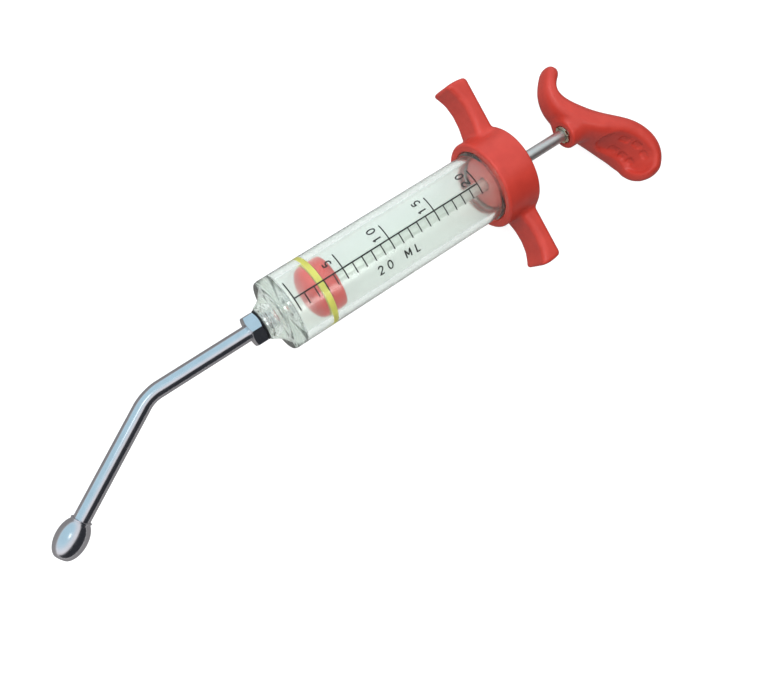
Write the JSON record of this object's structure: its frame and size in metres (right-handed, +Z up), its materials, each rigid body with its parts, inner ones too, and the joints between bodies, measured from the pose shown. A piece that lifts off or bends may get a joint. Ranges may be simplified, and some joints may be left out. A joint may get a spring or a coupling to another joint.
{
  "type": "oral syringe",
  "caption": "Reusable oral dosing syringe: clear barrel, bent metal nozzle with an olive tip, ring-sealed piston on a rod, winged screw cap and palm handle.",
  "frame": {"origin": "middle of the bounding box in X and Y, at the height of the surface that the syringe lies on", "axes": "+X along the barrel from the nozzle to the handle, +Y to the wing on the hook side of the handle, +Z up, square to the plane of the wings, the nozzle's bend and the handle"},
  "size_m": [0.2384, 0.0676, 0.0312],
  "materials": {
    "clear_plastic": "clear, polished",
    "chrome": "polished plating",
    "steel": "drawn and polished",
    "brass": "nickel-plated brass",
    "red_plastic": "moulded, satin",
    "yellow_rubber": "smooth",
    "black_rubber": "smooth",
    "white_rubber": "smooth"
  },
  "bodies": {
    "barrel": {"barrel": "clear_plastic"},
    "nozzle_seat": {"nozzle_washer": "black_rubber"},
    "nozzle": {"nozzle_hub": "chrome", "nozzle_tube": "chrome", "nozzle_ball": "chrome"},
    "cap_seat": {"cap_gasket": "white_rubber"},
    "cap": {"end_cap": "red_plastic", "rod_guide": "steel"},
    "seal": {"piston_seal": "yellow_rubber"},
    "plunger": {"piston_front": "red_plastic", "piston_rear": "red_plastic", "piston_nut": "steel", "piston_washer": "steel", "plunger_rod": "steel", "handle": "red_plastic", "handle_insert": "brass"}
  },
  "joints": [
    {"name": "plunger_slide", "type": "slide", "parent": "barrel", "child": "seal", "axis": [1, 0, 0], "range_m": [-0.007, 0.0605]},
    {"name": "plunger_spin", "type": "hinge", "parent": "seal", "child": "plunger", "pos_m": [-0.01409, 0, 0.0156], "axis": [1, 0, 0], "continuous": true},
    {"name": "cap_travel", "type": "slide", "parent": "barrel", "child": "cap_seat", "axis": [1, 0, 0], "range_m": [0, 0.00601]},
    {"name": "cap_turn", "type": "hinge", "parent": "cap_seat", "child": "cap", "pos_m": [0.0599, 0, 0.0156], "axis": [1, 0, 0], "range_deg": [0, 720]},
    {"name": "nozzle_travel", "type": "slide", "parent": "barrel", "child": "nozzle_seat", "axis": [-1, 0, 0], "range_m": [0, 0.00451]},
    {"name": "nozzle_turn", "type": "hinge", "parent": "nozzle_seat", "child": "nozzle", "pos_m": [-0.0351, 0, 0.0156], "axis": [-1, 0, 0], "range_deg": [0, 1080]}
  ],
  "couplings": [
    {"joint": "cap_travel", "follows": "cap_turn", "m_per_rad": 0.00047746},
    {"joint": "nozzle_travel", "follows": "nozzle_turn", "m_per_rad": 0.00023873}
  ]
}
